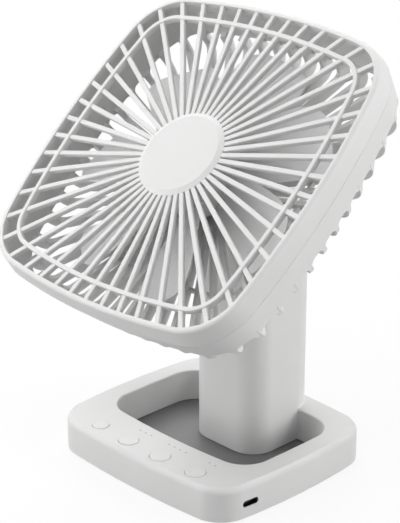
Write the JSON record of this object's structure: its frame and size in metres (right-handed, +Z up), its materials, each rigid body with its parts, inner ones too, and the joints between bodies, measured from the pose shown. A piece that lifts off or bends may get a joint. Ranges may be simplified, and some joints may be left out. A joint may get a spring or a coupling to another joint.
{
  "type": "desk fan",
  "caption": "Rechargeable desk fan with a square ribbed head that tips on a friction hinge, a hollow post, and a square base with an open recess and push buttons.",
  "frame": {"origin": "middle of the base, on the surface that it stands on", "axes": "+Z up, -Y to the front where the buttons are, +X to the right as seen from the front"},
  "size_m": [0.18, 0.1489, 0.2295],
  "materials": {
    "white_plastic": "fine matte moulded ABS",
    "button_plastic": "satin moulded ABS",
    "blade_plastic": "satin pale grey ABS",
    "grey_plastic": "moulded acetal",
    "grey_silicone": "soft satin silicone",
    "steel": "bright steel",
    "dark_steel": "zinc plated and blackened steel",
    "board": "green solder mask",
    "black_plastic": "moulded black plastic",
    "cell_sleeve": "shrink sleeve",
    "brass": "turned brass",
    "copper": "enamelled copper wire",
    "lead": "flexible insulation",
    "ferrite": "bonded magnet"
  },
  "bodies": {
    "stand": {"base_shell": "white_plastic", "post_cover": "white_plastic", "post_cover_screws": "steel", "bottom_cover": "grey_plastic", "base_screws": "steel", "base_mat": "grey_silicone", "base_weights": "dark_steel", "control_board": "board", "board_spacers": "black_plastic", "board_screws": "steel", "tact_switches": "black_plastic", "board_chips": "black_plastic", "usb_socket": "steel", "usb_tongue": "black_plastic", "battery_cells": "cell_sleeve", "battery_straps": "steel", "battery_cradle": "grey_plastic", "cradle_screws": "steel", "supply_lead": "lead", "hinge_yoke": "grey_plastic", "yoke_screws": "steel", "hinge_pin": "steel", "friction_washers": "dark_steel"},
    "head": {"front_grille": "white_plastic", "grille_cap": "white_plastic", "rear_grille": "white_plastic", "motor_cover": "white_plastic", "motor_cover_screws": "steel", "bearing_holder": "brass", "holder_screws": "steel", "front_bearing": "steel", "rear_bearing": "steel", "stator_core": "dark_steel", "stator_windings": "copper", "motor_board": "board", "motor_lead": "lead"},
    "rotor": {"impeller": "blade_plastic", "rotor_can": "steel", "magnet_ring": "ferrite", "motor_shaft": "steel", "shaft_clip": "dark_steel"},
    "timer_button": {"timer_button": "button_plastic"},
    "speed_down_button": {"speed_down_button": "button_plastic"},
    "speed_up_button": {"speed_up_button": "button_plastic"},
    "power_button": {"power_button": "button_plastic"}
  },
  "joints": [
    {"name": "head_tilt", "type": "hinge", "parent": "stand", "child": "head", "pos_m": [0, 0.01767, 0.12773], "axis": [-1, 0, 0], "range_deg": [-47.65, 42.35]},
    {"name": "impeller_spin", "type": "hinge", "parent": "head", "child": "rotor", "pos_m": [0, -0.0214, 0.1706], "axis": [0, 0.6737, -0.739], "continuous": true},
    {"name": "timer_press", "type": "slide", "parent": "stand", "child": "timer_button", "axis": [0, 0, -1], "range_m": [0, 0.0005], "stiffness_N_per_m": 3000, "springref_m": -0.0002},
    {"name": "speed_down_press", "type": "slide", "parent": "stand", "child": "speed_down_button", "axis": [0, 0, -1], "range_m": [0, 0.0005], "stiffness_N_per_m": 3000, "springref_m": -0.0002},
    {"name": "speed_up_press", "type": "slide", "parent": "stand", "child": "speed_up_button", "axis": [0, 0, -1], "range_m": [0, 0.0005], "stiffness_N_per_m": 3000, "springref_m": -0.0002},
    {"name": "power_press", "type": "slide", "parent": "stand", "child": "power_button", "axis": [0, 0, -1], "range_m": [0, 0.0005], "stiffness_N_per_m": 3000, "springref_m": -0.0002}
  ]
}
